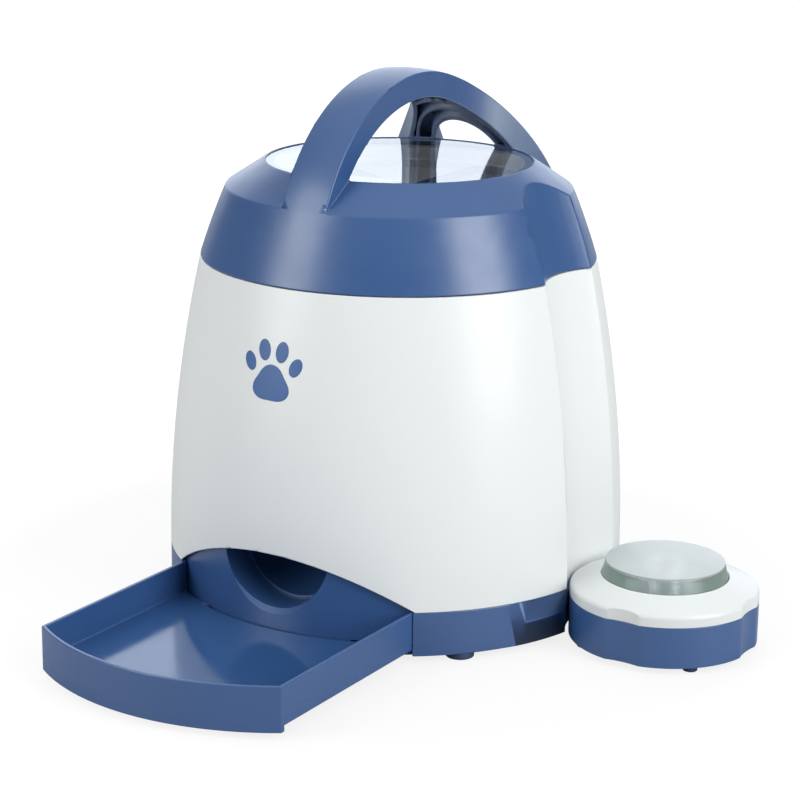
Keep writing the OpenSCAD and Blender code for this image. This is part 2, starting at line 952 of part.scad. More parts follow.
// Dosing wheel
module rotor() {
    color(BLUE)
        difference() {
            union() {
                translate([0, 0, rotor_z])
                    cylinder(r = hub_r, h = rotor_top - rotor_z);
                for (k = [0:vane_count - 1])
                    rotate(360 / vane_count * (k + 0.5))
                        translate([hub_r - 1, -vane_t / 2, rotor_z])
                            cube([rotor_r - hub_r + 1 - 0.1, vane_t, rotor_top - rotor_z]);
            }
            translate([0, 0, rotor_z - e])
                cylinder(r = bush_r + 0.6, h = chamber_z + bush_up + 0.4 - rotor_z + e);
            translate([0, 0, rotor_z - e])
                cylinder(r = shaft_r, h = rotor_top - rotor_z - 3);
        }
}

module rotor_shaft() {
    color(STEEL)
        translate([0, 0, plate_z - 3.5])
            cylinder(r = shaft_r, h = rotor_top - 3 - e - plate_z + 3.5);
}

function involute(base, t) = base * [cos(t) + t * PI / 180 * sin(t), sin(t) - t * PI / 180 * cos(t)];
function turn(p, a) = [p[0] * cos(a) - p[1] * sin(a), p[0] * sin(a) + p[1] * cos(a)];

// Spur gear outline: involute flanks at 20 degrees, thinned for backlash
module gear_outline(teeth) {
    backlash = 0.12;
    pitch = gear_m * teeth / 2;
    base = pitch * cos(20);
    tip = pitch + 0.92 * gear_m;
    root = pitch - 1.2 * gear_m;
    start = max(base, root + 0.1);
    t0 = sqrt(pow(start / base, 2) - 1) * 180 / PI;
    t1 = sqrt(pow(tip / base, 2) - 1) * 180 / PI;
    lead = tan(20) * 180 / PI - 20;
    half = 90 / teeth - backlash / pitch * 180 / PI;
    steps = 4;
    flank = [for (i = [0:steps]) turn(involute(base, t0 + (t1 - t0) * i / steps), -half - lead)];
    foot = turn([root, 0], -half - lead);
    polygon([for (k = [0:teeth - 1])
        each [for (p = concat([foot], flank, [for (i = [steps:-1:0]) [flank[i][0], -flank[i][1]]],
            [[foot[0], -foot[1]]])) turn(p, 360 / teeth * k)]]);
}

module drive_gear() {
    color(WHITE)
        difference() {
            union() {
                translate([0, 0, gear_z])
                    linear_extrude(gear_t)
                        gear_outline(drive_teeth);
                translate([0, 0, plate_top + 0.3])
                    cylinder(r = shaft_r + 4, h = gear_z - plate_top + gear_t);
            }
            translate([0, 0, plate_top])
                cylinder(r = shaft_r, h = post_h);
            for (a = [0:60:300])
                rotate(a)
                    translate([15, 0, gear_z - e])
                        cylinder(r = 4, h = gear_t + 2 * e);
        }
}

module motor_pinion() {
    color(BRASS)
        translate([0, pinion_y, 0]) {
            translate([0, 0, gear_z - 0.5])
                linear_extrude(gear_t + 1)
                    rotate(-90 + 180 / pinion_teeth)
                        gear_outline(pinion_teeth);
            translate([0, 0, plate_z - 4])
                cylinder(r = motor_shaft_r, h = gear_z + gear_t + 1 - plate_z + 4);
        }
}

// Plate under the dosing cup that carries the motor and the shaft's lower end
module gear_plate() {
    half_front = post_xy[1][0] + 7;
    half_back = post_xy[3][0] + 7;
    color(GREY)
        difference() {
            union() {
                translate([0, 0, plate_z])
                    linear_extrude(deck)
                        polygon([[-half_front, -13], [half_front, -13], [half_front, post_xy[0][1] + 6],
                            [half_back, post_xy[2][1] + 6], [-half_back, post_xy[2][1] + 6],
                            [-half_front, post_xy[0][1] + 6]]);
                translate([0, 0, plate_z - 4])
                    cylinder(r = shaft_r + 3, h = 4 + e);
            }
            translate([0, 0, plate_z - 5])
                cylinder(r = shaft_r + run, h = deck + 6);
            translate([0, pinion_y, plate_z - e])
                cylinder(r = motor_shaft_r + 1.5, h = deck + 2 * e);
            for (p = post_xy)
                translate([p[0], p[1], plate_z - e])
                    cylinder(r = screw_hole_r, h = deck + 2 * e);
            for (s = [-1, 1])
                translate([s * motor_screw_x, motor_screw_y, plate_z - e])
                    cylinder(r = screw_hole_r, h = deck + 2 * e);
        }
}

// Motor can under a round gearbox
module gear_motor() {
    color(STEEL)
        difference() {
            translate([0, pinion_y, plate_z - gearbox_h]) {
                cylinder(r = gearbox_r, h = gearbox_h);
                translate([0, 0, -motor_h])
                    cylinder(r = motor_r, h = motor_h + e);
                translate([0, 0, -motor_h - 2])
                    cylinder(r = 4, h = 3);
            }
            translate([0, pinion_y, plate_z - 4.5])
                cylinder(r = motor_shaft_r + run, h = 5);
            for (s = [-1, 1])
                translate([s * motor_screw_x, motor_screw_y, plate_z - 8])
                    cylinder(r = screw_hole_r, h = 9);
        }
}

module plate_screws() {
    color(STEEL)
        for (p = post_xy)
            translate([p[0], p[1], plate_z])
                screw(deck + 8);
}

module motor_screws() {
    color(STEEL)
        for (s = [-1, 1])
            translate([s * motor_screw_x, motor_screw_y, plate_top])
                mirror([0, 0, 1])
                    screw(deck + 6);
}

// Control board with its chip, radio module, capacitor and plugs
module main_board() {
    top = board_z + board_t - e;
    color(GREEN)
        difference() {
            union() {
                translate([-board_w / 2, board_y0, board_z])
                    cube([board_w, board_d, board_t]);
                translate([-8, board_y0 + 16, top])
                    cube([14, 14, 1.6]);
                translate([14, board_y0 + 10, top])
                    cube([16, 22, 2.6]);
                translate([-24, board_y0 + 14, top])
                    cylinder(r = 4, h = 9);
                for (x = [-16, 0, 16])
                    translate([x - 5, board_y0 + board_d - 8, top])
                        cube([10, 6, 6]);
            }
            at_board_holes()
                translate([0, 0, board_z - e])
                    cylinder(r = screw_hole_r, h = board_t + 2 * e);
        }
}

module board_screws() {
    color(STEEL)
        at_board_holes()
            translate([0, 0, board_z + board_t])
                mirror([0, 0, 1])
                    screw(board_t + 6);
}

module speaker() {
    color(DARK)
        translate([speaker_x, speaker_y, floor_z])
            difference() {
                union() {
                    cylinder(r = speaker_r, h = 3);
                    cylinder(r1 = speaker_r - 2, r2 = speaker_r * 0.55, h = speaker_h - 2);
                    cylinder(r = speaker_r * 0.55, h = speaker_h);
                }
                translate([0, 0, -e])
                    cylinder(r1 = speaker_r - 4, r2 = speaker_r * 0.4, h = speaker_h - 4);
            }
}

// Four C cells in two rows, each with its raised pole
module batteries() {
    color(BRASS)
        for (row = [0, 1], i = [0, 1])
            translate([(i - 1) * cell_l + (i - 0.5) * bay_gap, cell_y(row), cell_z])
                rotate([0, 90, 0]) {
                    cylinder(r = cell_r - run, h = cell_l - 1.6);
                    cylinder(r = 3, h = cell_l);
                }
}

module battery_contacts() {
    color(STEEL)
        for (s = [-1, 1], row = [0, 1])
            translate([s * (bay_x - contact_t / 2), cell_y(row), cell_z])
                cube([contact_t, 16, 16], center = true);
}

module battery_door() {
    x = bay_x + door_lip;
    color(BLUE)
        difference() {
            union() {
                translate([-x, bay_y0 - door_lip - 5, foot_h])
                    cube([2 * x, bay_w + 2 * door_lip + 5, door_t]);
                for (row = [0, 1])
                    translate([-bay_x + 4, cell_y(row) - 1.5, foot_h])
                        cube([2 * bay_x - 8, 3, deck]);
            }
            translate([0, bay_y0 - bay_wall - 3.5, 0])
                cylinder(r = screw_hole_r, h = floor_z);
        }
}

module door_screw() {
    color(STEEL)
        translate([0, bay_y0 - bay_wall - 3.5, foot_h])
            screw(8);
}

// Slide switch on the pan's floor, behind its slot in the ring
module power_switch() {
    color(DARK)
        difference() {
            translate([-switch_w / 2, switch_y, floor_z])
                cube([switch_w, switch_d, switch_h]);
            slider_slot(switch_y + switch_back);
        }
}

module switch_slider() {
    color(DARK)
        translate([-(slider_w + slider_travel) / 2, switch_y + switch_back + slip, slider_z - slider_h / 2])
            difference() {
                cube([slider_w, slider_l, slider_h]);
                for (i = [1:3])
                    translate([i * slider_w / 4 - groove / 2, slider_l - groove, -e])
                        cube([groove, groove + e, slider_h + 2 * e]);
            }
}

// Moves children to the docked puck
module at_dock() {
    translate([dock_x, 0, 0])
        children();
}

// The puck's four grip scallops, grown to make the wall behind them
module grips(grow) {
    for (a = [0:90:270])
        rotate(a)
            translate([puck_r + grip_cut_r - grip_depth, 0, 0])
                cylinder(r = grip_cut_r + grow, h = dome_top, $fn = 180);
}

module at_puck_bosses() {
    for (a = puck_boss_angles)
        rotate(a)
            translate([puck_boss_ring, 0, 0])
                children();
}

module at_puck_posts() {
    for (a = puck_post_angles)
        rotate(a)
            translate([puck_post_ring, 0, 0])
                children();
}

// Blue cup with posts for the board and a bay for two cells
module remote_base() {
    color(BLUE)
        at_dock()
            difference() {
                union() {
                    difference() {
                        translate([0, 0, puck_foot_h])
                            cylinder(r = puck_r, h = puck_base_h);
                        grips(0);
                        difference() {
                            translate([0, 0, puck_floor])
                                cylinder(r = puck_r - puck_wall, h = puck_base_h);
                            grips(puck_wall);
                        }
                    }
                    at_puck_bosses()
                        translate([0, 0, puck_floor - e])
                            cylinder(r = 3, h = puck_base_h - puck_wall + e);
                    at_puck_posts()
                        translate([0, 0, puck_floor - e])
                            cylinder(r = puck_post_r, h = puck_board_z - puck_floor + e);
                    translate([-small_bay_x / 2 - 1.5, -small_bay_y / 2 - 1.5, puck_floor - e])
                        cube([small_bay_x + 3, small_bay_y + 3, small_cell_r + e]);
                    translate([0, small_bay_y / 2 + 5, puck_floor - e])
                        cylinder(r = 3, h = 6);
                }
                at_puck_bosses() {
                    cylinder(r = screw_hole_r, h = dome_top);
                    cylinder(r = head_r - 0.4 + fit, h = puck_foot_h + head_h);
                }
                translate([-small_bay_x / 2, -small_bay_y / 2, 0])
                    cube([small_bay_x, small_bay_y, puck_base_h]);
                small_door_shape(fit, small_door_t + fit);
                translate([0, small_bay_y / 2 + 5, 0])
                    cylinder(r = screw_hole_r, h = puck_floor + 5);
                at_puck_feet()
                    cylinder(r = 1.6, h = puck_floor + e);
            }
}

// Outline of the puck's battery door, as a plate from the underside up
module small_door_shape(grow, thickness) {
    x = small_bay_x / 2 + small_door_lip + grow;
    y0 = small_bay_y / 2 + small_door_lip + grow;
    translate([-x, -y0, puck_foot_h - grow])
        cube([2 * x, 2 * y0 + 6, thickness + grow]);
}

module remote_battery_door() {
    color(BLUE)
        at_dock()
            difference() {
                small_door_shape(0, small_door_t);
                translate([0, small_bay_y / 2 + 5, 0])
                    cylinder(r = screw_hole_r, h = puck_floor);
            }
}

module at_puck_feet() {
    for (a = [45:90:315])
        rotate(a)
            translate([puck_r - 6, 0, 0])
                children();
}

module remote_feet() {
    color(DARK)
        at_dock()
            at_puck_feet() {
                cylinder(r = 3.5, h = puck_foot_h);
                cylinder(r = 1.5, h = puck_floor + 0.8);
            }
}

// White top ring: upright side, rounded edge, sloping top and the button's hole
module remote_ring() {
    color(WHITE)
        at_dock()
            difference() {
                union() {
                    difference() {
                        rotate_extrude($fn = 180)
                            ring_section();
                        grips(0);
                    }
                    intersection() {
                        at_puck_bosses()
                            translate([0, 0, puck_top_base + 0.2])
                                cylinder(r = 3, h = puck_side_h + puck_round - 0.2);
                        cylinder(r = puck_r - puck_wall / 2, h = dome_top);
                    }
                }
                at_puck_bosses()
                    translate([0, 0, puck_top_base - e])
                        cylinder(r = screw_hole_r, h = puck_side_h - 0.2);
            }
}

module ring_section() {
    inner = puck_r - puck_wall - grip_depth;
    under = puck_wall / cos(puck_slope);
    steps = 6;
    polygon(concat([[inner, puck_top_base], [puck_r, puck_top_base]],
        [for (i = [0:steps])
            let (a = (90 - puck_slope) * i / steps)
                [round_r + puck_round * cos(a), round_z + puck_round * sin(a)]],
        [[hole_r, hole_z], [hole_r, hole_z - under],
            [inner, hole_z - under - (inner - hole_r) * tan(puck_slope)]]));
}

// Frosted dome: flange under the ring, side, low dome, three clear lugs and a plunger
module remote_button() {
    color(CLEAR)
        at_dock() {
            difference() {
                rotate_extrude($fn = 120)
                    button_section(0);
                rotate_extrude($fn = 120)
                    button_section(puck_wall);
            }
            for (a = lug_angles)
                rotate(a)
                    translate([button_top_r - puck_wall - lug_t + 0.4, -lug_w / 2, flange_z])
                        cube([lug_t, lug_w, button_edge_z - 0.6 - flange_z]);
            translate([0, 0, plunger_z])
                cylinder(r = plunger_r, h = dome_top - puck_wall - plunger_z + e);
            translate([0, 0, collar_z])
                cylinder(r = spring_r + 2, h = dome_top - puck_wall - collar_z - 0.5);
        }
}

module button_section(inset) {
    foot = flange_z - button_flange_t;
    side_r = button_top_r - inset;
    top = button_edge_z - inset;
    soft = inset == 0 ? button_round : 0;
    if (inset == 0)
        translate([0, foot])
            square([button_flange_r, button_flange_t]);
    polygon(concat([[0, foot - inset], [button_r - inset, foot - inset], [button_r - inset, hole_z]],
        soft > 0 ? [[side_r, top - soft], [side_r - soft, top]] : [[side_r, top]], [[0, top]]));
    if (soft > 0)
        intersection() {
            translate([side_r - soft, top - soft])
                circle(soft);
            square([button_r, dome_top]);
        }
    intersection() {
        translate([0, dome_top - dome_r])
            circle(dome_r - inset, $fn = 360);
        translate([0, button_edge_z - button_round])
            square([dome_chord - inset, dome_rise + button_round]);
    }
}

// Compression spring: one tube along a helix with flat end turns
spring_sides = 6;
spring_rings = spring_turns * 12;
spring_z0 = puck_board_top + wire_t / 2 + 0.1;
spring_z1 = collar_z - wire_t / 2 - 0.1;
function spring_point(i) = [spring_r * cos(i * 30), spring_r * sin(i * 30),
    spring_z0 + (spring_z1 - spring_z0) * i / spring_rings];
function spring_ring(i) = [for (k = [0:spring_sides - 1])
    let (a = 360 / spring_sides * k, p = spring_point(i))
        [p[0] + wire_t / 2 * cos(a) * cos(i * 30), p[1] + wire_t / 2 * cos(a) * sin(i * 30),
            p[2] + wire_t / 2 * sin(a)]];

module remote_spring() {
    n = spring_sides;
    points = [for (i = [0:spring_rings]) each spring_ring(i)];
    sides = [for (i = [0:spring_rings - 1], k = [0:n - 1])
        each [[i * n + k, (i + 1) * n + k, i * n + (k + 1) % n],
            [i * n + (k + 1) % n, (i + 1) * n + k, (i + 1) * n + (k + 1) % n]]];
    start = [for (k = [1:n - 2]) [0, k, k + 1]];
    end = [for (k = [1:n - 2]) [spring_rings * n, spring_rings * n + k + 1, spring_rings * n + k]];
    color(STEEL)
        at_dock()
            polyhedron(points, concat(sides, start, end));
}

module remote_board() {
    color(GREEN)
        at_dock()
            translate([0, 0, puck_board_z])
                cylinder(r = puck_board_r, h = board_t);
}

// Tact switch under the plunger
module remote_switch() {
    color(DARK)
        at_dock()
            translate([0, 0, puck_board_top]) {
                translate([-3, -3, 0])
                    cube([6, 6, tact_h]);
                cylinder(r = 1.7, h = tact_h + tact_tip);
            }
}

module remote_led() {
    color(CLEAR)
        at_dock()
            translate([18, 0, puck_board_top]) {
                cylinder(r = 2.5, h = 3);
                translate([0, 0, 3])
                    sphere(2.5);
            }
}

module remote_batteries() {
    color(BRASS)
        at_dock()
            for (s = [-1, 1])
                translate([-small_cell_l / 2, s * (small_cell_r + fit), small_cell_z])
                    rotate([0, 90, 0]) {
                        cylinder(r = small_cell_r, h = small_cell_l - 1);
                        cylinder(r = 1.9, h = small_cell_l);
                    }
}

module remote_contacts() {
    color(STEEL)
        at_dock()
            for (sx = [-1, 1], sy = [-1, 1])
                translate([sx * (small_bay_x - small_contact_t) / 2, sy * (small_cell_r + fit), small_cell_z])
                    cube([small_contact_t, 7, 7], center = true);
}

module remote_screws() {
    color(STEEL)
        at_dock() {
            at_puck_bosses()
                translate([0, 0, puck_foot_h + head_h])
                    small_screw(puck_base_h - head_h + puck_side_h - 1.5);
            translate([0, small_bay_y / 2 + 5, puck_foot_h])
                small_screw(5);
        }
}

module small_screw(length) {
    cylinder(r = screw_r, h = length);
    translate([0, 0, -head_h])
        cylinder(r = head_r - 0.4, h = head_h);
}

base_pan();
rubber_feet();
casing();
case_screws();
chute();
tray();
lid();
lid_window();
hopper();
dosing_cup();
shaft_bush();
hopper_baffle();
rotor();
rotor_shaft();
drive_gear();
motor_pinion();
gear_plate();
gear_motor();
plate_screws();
motor_screws();
main_board();
board_screws();
speaker();
batteries();
battery_contacts();
battery_door();
door_screw();
power_switch();
switch_slider();
remote_base();
remote_ring();
remote_button();
remote_spring();
remote_board();
remote_switch();
remote_led();
remote_batteries();
remote_contacts();
remote_battery_door();
remote_screws();
remote_feet();
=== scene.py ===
"""Looks of the treat dispenser and its push-button puck.

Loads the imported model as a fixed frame, gives every node a procedural material, rounds the
edges that show, adds the printed paw and the button's spring, and sets camera, floor and light.
"""

import json
import math

import bpy
from mathutils import Matrix, Vector


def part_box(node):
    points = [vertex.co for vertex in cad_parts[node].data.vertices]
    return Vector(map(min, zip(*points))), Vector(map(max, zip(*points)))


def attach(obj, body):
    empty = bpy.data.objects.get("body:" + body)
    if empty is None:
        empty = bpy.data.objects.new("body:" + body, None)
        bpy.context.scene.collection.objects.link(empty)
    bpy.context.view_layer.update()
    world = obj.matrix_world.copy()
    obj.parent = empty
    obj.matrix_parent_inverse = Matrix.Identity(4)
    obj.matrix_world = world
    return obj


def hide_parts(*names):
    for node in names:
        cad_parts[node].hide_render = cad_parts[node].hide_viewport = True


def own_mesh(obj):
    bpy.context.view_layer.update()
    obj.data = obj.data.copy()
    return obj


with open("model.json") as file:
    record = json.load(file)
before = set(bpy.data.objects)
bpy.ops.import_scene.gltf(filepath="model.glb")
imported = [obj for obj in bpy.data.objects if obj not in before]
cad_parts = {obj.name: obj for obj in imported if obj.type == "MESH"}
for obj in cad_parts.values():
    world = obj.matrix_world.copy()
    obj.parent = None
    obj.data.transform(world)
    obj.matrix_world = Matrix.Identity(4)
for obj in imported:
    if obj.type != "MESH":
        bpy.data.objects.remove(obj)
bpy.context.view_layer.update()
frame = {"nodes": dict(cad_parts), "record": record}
nodes = frame["nodes"]
slot_of = {s["node"]: s["material_slot"] for s in frame["record"]["subparts"]}

scene = bpy.context.scene
scene.view_settings.view_transform = "Standard"

MM = 0.001
UP = Vector((0, 0, 1))


class Nodes:
    """A node tree whose nodes are added one call at a time."""

    def __init__(self, tree):
        self.tree = tree

    def new(self, kind):
        return self.tree.nodes.new(kind)

    def feed(self, socket, value):
        """Links an output to the socket, or sets a constant on it."""
        if isinstance(value, bpy.types.NodeSocket):
            self.tree.links.new(value, socket)
        else:
            socket.default_value = value

    def span(self, value, low, high, start=0.0, end=1.0, curve="LINEAR"):
        """The value carried from start..end to low..high."""
        made = self.new("ShaderNodeMapRange")
        made.interpolation_type = curve
        self.feed(made.inputs["Value"], value)
        self.feed(made.inputs["From Min"], start)
        self.feed(made.inputs["From Max"], end)
        self.feed(made.inputs["To Min"], low)
        self.feed(made.inputs["To Max"], high)
        return made.outputs["Result"]

    def math(self, kind, a, b=0.0):
        made = self.new("ShaderNodeMath")
        made.operation = kind
        self.feed(made.inputs[0], a)
        self.feed(made.inputs[1], b)
        return made.outputs["Value"]

    def vector(self, kind, output, a, b=(0, 0, 0)):
        """Vector maths, read from the output of this name."""
        made = self.new("ShaderNodeVectorMath")
        made.operation = kind
        self.feed(made.inputs[0], a)
        self.feed(made.inputs[1], b)
        return made.outputs[output]

    def split(self, vector):
        """The three coordinates of a vector."""
        made = self.new("ShaderNodeSeparateXYZ")
        self.feed(made.inputs["Vector"], vector)
        return made.outputs

    def mix(self, share, a, b):
        """A colour between a and b."""
        made = self.new("ShaderNodeMix")
        made.data_type = "RGBA"
        self.feed(made.inputs["Factor"], share)
        self.feed(made.inputs["A"], a)
        self.feed(made.inputs["B"], b)
        return made.outputs["Result"]

    def blend(self, share, a, b, target):
        """Feeds the target with a mix of the shaders a and b."""
        made = self.new("ShaderNodeMixShader")
        self.feed(made.inputs["Fac"], share)
        self.feed(made.inputs[1], a)
        self.feed(made.inputs[2], b)
        self.feed(target, made.outputs["Shader"])


class Paint(Nodes):
    """A material, painted in the coordinates of the piece that wears it."""

    def __init__(self, name):
        self.material = bpy.data.materials.new(name)
        self.material.use_nodes = True
        super().__init__(self.material.node_tree)
        self.shader = self.tree.nodes["Principled BSDF"]
        self.surface = self.tree.nodes["Material Output"].inputs["Surface"]
        self.where = self.new("ShaderNodeTexCoord").outputs["Object"]

    def set(self, name, value):
        self.feed(self.shader.inputs[name], value)

    def fed(self, name):
        """The output that feeds an input of the shader so far."""
        return self.shader.inputs[name].links[0].from_socket

    def noise(self, size, detail=2.0):
        """Smooth noise from 0 to 1 whose lumps are about this many metres across."""
        made = self.new("ShaderNodeTexNoise")
        self.feed(made.inputs["Vector"], self.where)
        self.feed(made.inputs["Scale"], 1 / size)
        self.feed(made.inputs["Detail"], detail)
        return made.outputs["Fac"]

    def bump(self, height, depth, under=None):
        """A normal from a height of 0 to 1 that stands for this many metres."""
        made = self.new("ShaderNodeBump")
        self.feed(made.inputs["Distance"], depth)
        self.feed(made.inputs["Height"], height)
        if under is not None:
            self.feed(made.inputs["Normal"], under)
        return made.outputs["Normal"]


PURE_WHITE = (1.0, 1.0, 1.0, 1.0)
WHITE = (0.712, 0.742, 0.745, 1.0)
BLUE = (0.030, 0.086, 0.232, 1.0)
# Paler blue on the lid's inward faces: painted light, not a colour of the plastic
HOLLOW_PAINTED_LIGHT = (0.16, 0.22, 0.34, 1.0)
INK = (0.036, 0.105, 0.29, 1.0)

# Noise seldom leaves this range
NOISE_RANGE = (0.3, 0.7)
# Lumps in the plastic's colour, gloss and flatness
CLOUD = 45 * MM
PATCH = 14 * MM
WAVE = 30 * MM
WAVE_DEPTH = 0.05 * MM


def shade(colour, by):
    """The colour made lighter or darker by a factor."""
    return tuple(min(1.0, c * by) for c in colour[:3]) + (1.0,)


def plastic(name, colour, rough, grain=0.5 * MM, depth=0.006 * MM, mottle=0.04,
            uneven=0.04, ior=1.5):
    """Moulded plastic: faint mottling, uneven gloss, slow waves and the mould's fine grain."""
    p = Paint(name)
    cloud = p.noise(CLOUD, detail=3.0)
    patch = p.noise(PATCH, detail=4.0)
    p.set("Base Color", p.mix(cloud, shade(colour, 1 - mottle), shade(colour, 1 + mottle)))
    p.set("Roughness", p.span(patch, rough - uneven, rough + uneven, *NOISE_RANGE))
    p.set("IOR", ior)
    wave = p.bump(p.noise(WAVE, detail=1.0), WAVE_DEPTH)
    p.set("Normal", p.bump(p.noise(grain), depth, wave))
    return p


def white(name, by=1.0):
    """The satin white plastic of casing and puck; a factor below 1 gives a darker copy, which is
    painted shade.
    """
    return plastic(name, shade(WHITE, by), 0.34, mottle=0.012)


def blue(name, rough=0.32):
    """The glossy blue plastic of base, tray, lid and puck."""
    return plastic(name, BLUE, rough, mottle=0.05, uneven=0.03, ior=1.66)


SMUDGE = 6 * MM
TURNING_LINE = 0.25 * MM
LINE_DEPTH = 0.01 * MM


def metal(name, colour, rough):
    """Plated or machined metal: fine turning lines and smudged gloss."""
    p = Paint(name)
    p.set("Metallic", 1.0)
    smudge = p.noise(SMUDGE, detail=4.0)
    p.set("Base Color", p.mix(smudge, shade(colour, 0.9), shade(colour, 1.06)))
    p.set("Roughness", p.span(smudge, rough - 0.08, rough + 0.08, *NOISE_RANGE))
    p.set("Normal", p.bump(p.noise(TURNING_LINE), LINE_DEPTH))
    return p


CLEAR_IOR = 1.49
CLEAR_TINT = (0.92, 0.94, 0.98, 1.0)
FINGER_MARK = 12 * MM


def clear(p, colour, rough, see_through, grain, depth):
    """Makes a paint clear or frosted plastic. The first three values may come from nodes."""
    p.set("Base Color", colour)
    p.set("Roughness", rough)
    p.set("Transmission Weight", see_through)
    p.set("IOR", CLEAR_IOR)
    p.set("Specular Tint", CLEAR_TINT)
    p.set("Normal", p.bump(p.noise(grain), depth))


def handled(p, rough):
    """Roughness that varies a little, as on a clear piece that was touched."""
    return p.span(p.noise(FINGER_MARK, detail=3.0), rough * 0.8, rough * 1.2, *NOISE_RANGE)


def let_light_in(p):
    """Lets lamps and bounced light through a clear piece: it casts no shadow of its own."""
    through = p.new("ShaderNodeBsdfTransparent").outputs["BSDF"]
    rays = p.new("ShaderNodeLightPath").outputs
    bounced = p.math("MAXIMUM", rays["Is Diffuse Ray"], rays["Is Glossy Ray"])
    share = p.math("MAXIMUM", rays["Is Shadow Ray"], bounced)
    p.blend(share, p.shader.outputs["BSDF"], through, p.surface)


# Slope and curve of the window's face along y
WINDOW_FALL = -0.0516
WINDOW_CURVE = 0.1655


def window_paint():
    """Clear disc whose moulded face sinks a little, more at the front than at the back."""
    p = Paint("clear_window")
    clear(p, (0.91, 0.93, 0.94, 1), handled(p, 0.03), 1.0, 20 * MM, 0.01 * MM)
    y = p.split(p.where)["Y"]
    fall = p.math("MULTIPLY", y, WINDOW_FALL)
    curve = p.math("MULTIPLY", p.math("MULTIPLY", y, y), WINDOW_CURVE)
    p.set("Normal", p.bump(p.math("ADD", fall, curve), 1.0, p.fed("Normal")))
    let_light_in(p)
    return p


BUTTON_EDGE = 41.4 * MM
BUTTON_EDGE_SOFT = 1.2 * MM
BUTTON_CLOUD = 9 * MM


def button_paint():
    """Frosted dome on a clearer, greenish wall through which its lugs show. The wall is also
    painted darker than the top: painted shade of the dark inside.
    """
    p = Paint("frosted")
    cloud = p.noise(BUTTON_CLOUD, detail=4.0)
    height = p.split(p.where)["Z"]
    on_top = p.span(height, 0.0, 1.0, BUTTON_EDGE - BUTTON_EDGE_SOFT, BUTTON_EDGE)
    top = p.mix(cloud, (0.66, 0.71, 0.72, 1), (0.74, 0.79, 0.80, 1))
    # Darker wall colour: painted shade of the dark inside; its green tint is the plastic's own
    wall = p.mix(cloud, (0.52, 0.62, 0.60, 1), (0.62, 0.71, 0.69, 1))
    rough = p.span(on_top, 0.30, 0.42)
    see_through = p.span(on_top, 0.75, 0.35)
    clear(p, p.mix(on_top, wall, top), rough, see_through, 0.6 * MM, 0.012 * MM)
    let_light_in(p)
    return p


def led_paint():
    """Small clear lamp of the puck."""
    p = Paint("led")
    clear(p, (0.75, 0.85, 0.8, 1), handled(p, 0.08), 0.8, 5 * MM, 0.01 * MM)
    return p


TRAY_FLOOR = 9.5 * MM
# Distance from the tray's floor over which the polish ends
POLISH_END = (0.25 * MM, 0.3 * MM)


def tray_paint():
    """The tray's plastic, with the polished floor on which treats slide."""
    p = blue("blue_tray", rough=0.33)
    height = p.split(p.where)["Z"]
    off_floor = p.math("ABSOLUTE", p.math("SUBTRACT", height, TRAY_FLOOR))
    polished = p.span(p.noise(PATCH, detail=4.0), 0.10, 0.16, *NOISE_RANGE)
    p.set("Roughness", p.span(off_floor, polished, p.fed("Roughness"), *POLISH_END))
    return p


HANDLE_MIDDLE = (0, 0, 172 * MM)
# How far from the middle a face that looks back at it counts wholly, and not at all, as inner and
# gets the painted light
PAINTED_LIGHT_FACE = (-12 * MM, -4 * MM)


def lid_paint():
    """The lid's plastic, with the faces that look inwards in lid and handle painted paler: painted
    light in the dark hollow.
    """
    p = blue("blue_lid_painted_light")
    from_middle = p.vector("SUBTRACT", "Vector", p.where, HANDLE_MIDDLE)
    normal = p.new("ShaderNodeNewGeometry").outputs["Normal"]
    facing = p.vector("DOT_PRODUCT", "Value", from_middle, normal)
    inner = p.span(facing, 1.0, 0.0, *PAINTED_LIGHT_FACE)
    # Inward faces get the paler blue: painted light where little light reaches
    p.set("Base Color", p.mix(inner, p.fed("Base Color"), HOLLOW_PAINTED_LIGHT))
    return p


paints = {
    "white_shell": white("white_shell"),
    "white_inner": plastic("white_inner", (0.85, 0.87, 0.86, 1), 0.42, mottle=0.015),
    "blue_shell": blue("blue_shell"),
    "rubber": plastic("rubber", (0.022, 0.045, 0.10, 1), 0.6, grain=0.9 * MM, depth=0.05 * MM),
    "gear_white": plastic("gear_white", (0.82, 0.82, 0.78, 1), 0.4),
    "plate_grey": plastic("plate_grey", (0.26, 0.28, 0.30, 1), 0.5),
    "board_green": plastic("board_green", (0.03, 0.16, 0.08, 1), 0.3),
    "dark_plastic": plastic("dark_plastic", (0.03, 0.03, 0.035, 1), 0.45),
    "cells": plastic("cells", (0.2, 0.18, 0.14, 1), 0.3),
    "steel": metal("steel", (0.6, 0.61, 0.63, 1), 0.28),
    "brass": metal("brass", (0.62, 0.45, 0.18, 1), 0.3),
    "motor_can": metal("motor_can", (0.52, 0.53, 0.55, 1), 0.35),
    "clear_window": window_paint(),
    "frosted": button_paint(),
    "led": led_paint(),
}

# Nodes that don't wear their slot's plain paint
own_paint = {
    "tray": tray_paint(),
    "lid": lid_paint(),
    # The ring wears the casing's white made darker: painted shade on the same plastic
    "remote_ring": white("white_ring_painted_shade", by=0.91),
}

for name, node in nodes.items():
    node.data.materials.clear()
    node.data.materials.append(own_paint.get(name, paints[slot_of[name]]).material)


